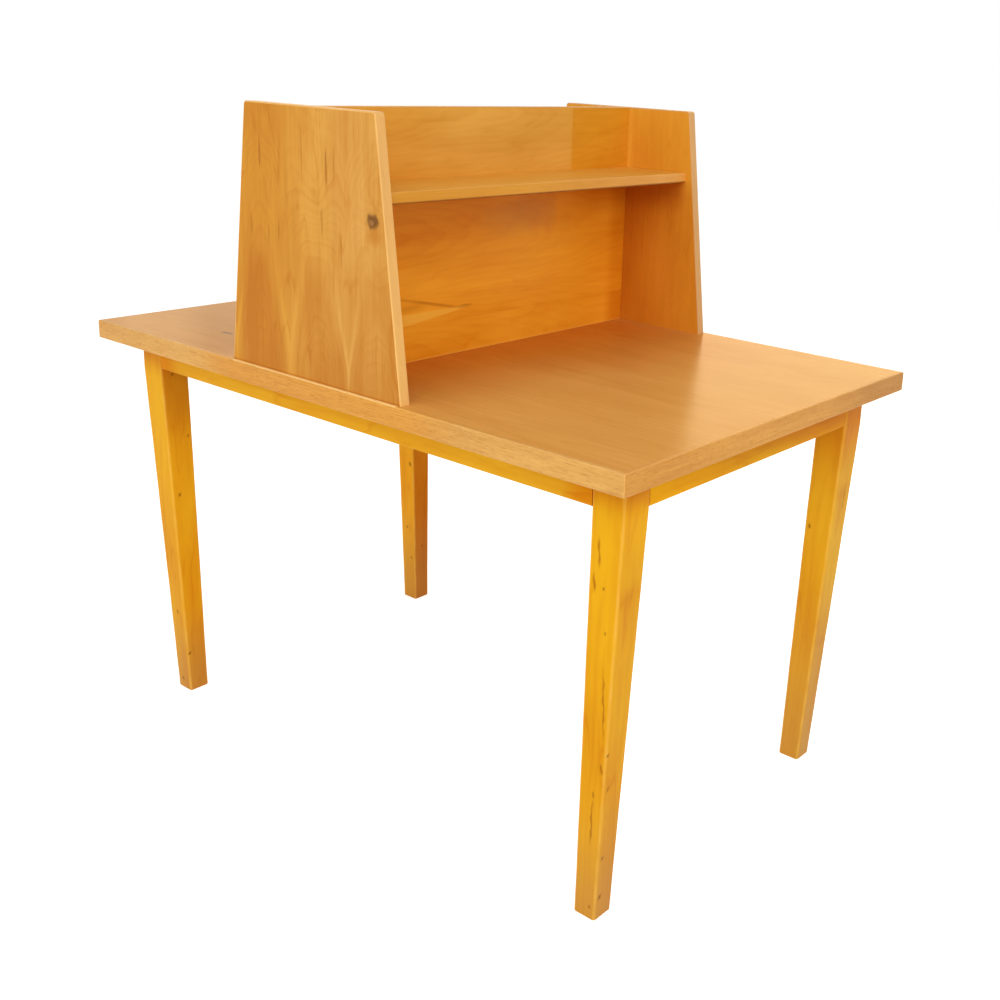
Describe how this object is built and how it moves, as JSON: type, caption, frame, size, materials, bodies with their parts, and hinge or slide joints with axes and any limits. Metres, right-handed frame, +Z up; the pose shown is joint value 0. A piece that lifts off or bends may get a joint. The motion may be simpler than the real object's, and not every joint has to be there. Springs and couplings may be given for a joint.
{
  "type": "student desk with hutch",
  "caption": "Long wooden study table on tapered legs for readers face to face, with a double-sided hutch of sloping side panels, a divider and a shelf across its middle.",
  "frame": {"origin": "middle of the table's footprint at floor height", "axes": "+Z up; X runs across a seated reader, with +X to the right of the reader at the front; the front reader's edge is at -Y and the back reader's edge at +Y"},
  "size_m": [0.8, 1.24, 1.17],
  "materials": {
    "face_veneer": "satin clear lacquer",
    "backing_veneer": "thin lacquer",
    "board_core": "bare",
    "oak_lipping": "satin clear lacquer",
    "stained_pine": "satin amber lacquer",
    "stained_pine_apron": "satin amber lacquer",
    "panel_veneer": "satin clear lacquer",
    "edge_band": "satin clear lacquer",
    "divider_veneer": "satin clear lacquer",
    "shelf_veneer": "satin clear lacquer",
    "bare_pine": "bare, planed",
    "beech": "bare"
  },
  "bodies": {
    "root": {"apron_back": "stained_pine_apron", "apron_front": "stained_pine_apron", "apron_left": "stained_pine_apron", "apron_right": "stained_pine_apron", "corner_block_back_left": "bare_pine", "corner_block_back_right": "bare_pine", "corner_block_front_left": "bare_pine", "corner_block_front_right": "bare_pine", "divider_lower_rail": "divider_veneer", "divider_top_band": "edge_band", "divider_upper_board": "divider_veneer", "hutch_tenons": "beech", "leg_back_left": "stained_pine", "leg_back_right": "stained_pine", "leg_front_left": "stained_pine", "leg_front_right": "stained_pine", "lipping_back": "oak_lipping", "lipping_front": "oak_lipping", "lipping_left": "oak_lipping", "lipping_right": "oak_lipping", "shelf_back": "shelf_veneer", "shelf_band_back": "edge_band", "shelf_band_front": "edge_band", "shelf_front": "shelf_veneer", "shelf_tenons": "beech", "side_panel_band_left": "edge_band", "side_panel_band_right": "edge_band", "side_panel_left": "panel_veneer", "side_panel_right": "panel_veneer", "top_backing_veneer": "backing_veneer", "top_buttons": "beech", "top_core": "board_core", "top_face_veneer": "face_veneer"}
  },
  "joints": []
}
